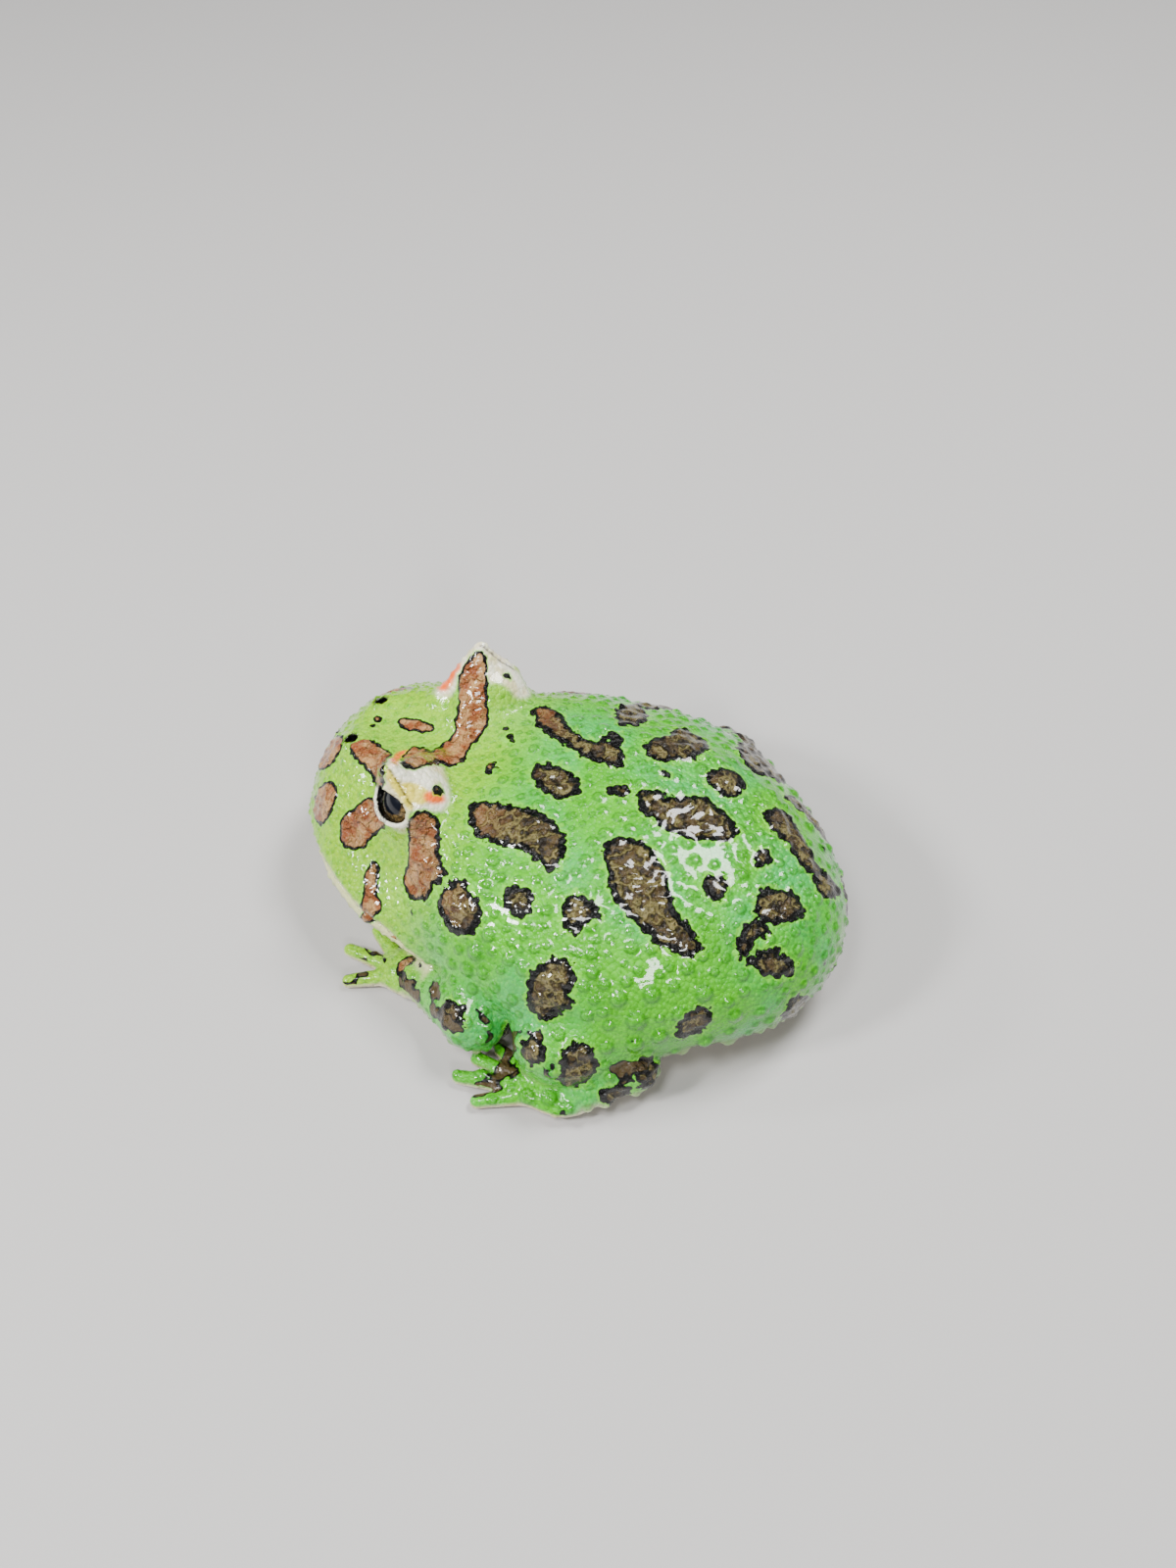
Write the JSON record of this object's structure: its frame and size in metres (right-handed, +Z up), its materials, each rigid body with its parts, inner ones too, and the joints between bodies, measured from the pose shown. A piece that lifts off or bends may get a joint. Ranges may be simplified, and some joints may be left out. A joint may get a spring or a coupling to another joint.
{
  "type": "argentine horned frog",
  "caption": "Life-size still model of a squat horned frog resting on its belly with folded legs, a wide mouth and a pointed horn over each eye.",
  "frame": {"origin": "on the floor under the middle of the frog's bounding box", "axes": "the snout points along -Y, the frog's left side is +X, +Z is up from the floor"},
  "size_m": [0.0654, 0.0701, 0.0275],
  "materials": {
    "skin": "gloss",
    "jaw_skin": "gloss",
    "horn_skin": "gloss",
    "eye": "gloss"
  },
  "bodies": {
    "root": {"head": "skin", "lower_jaw": "jaw_skin", "torso": "skin", "eye_left": "eye", "eye_right": "eye", "horn_left": "horn_skin", "horn_right": "horn_skin", "upper_arm_left": "skin", "forearm_left": "skin", "hand_left": "skin", "thigh_left": "skin", "shank_left": "skin", "hind_foot_left": "skin", "upper_arm_right": "skin", "forearm_right": "skin", "hand_right": "skin", "thigh_right": "skin", "shank_right": "skin", "hind_foot_right": "skin"}
  },
  "joints": []
}
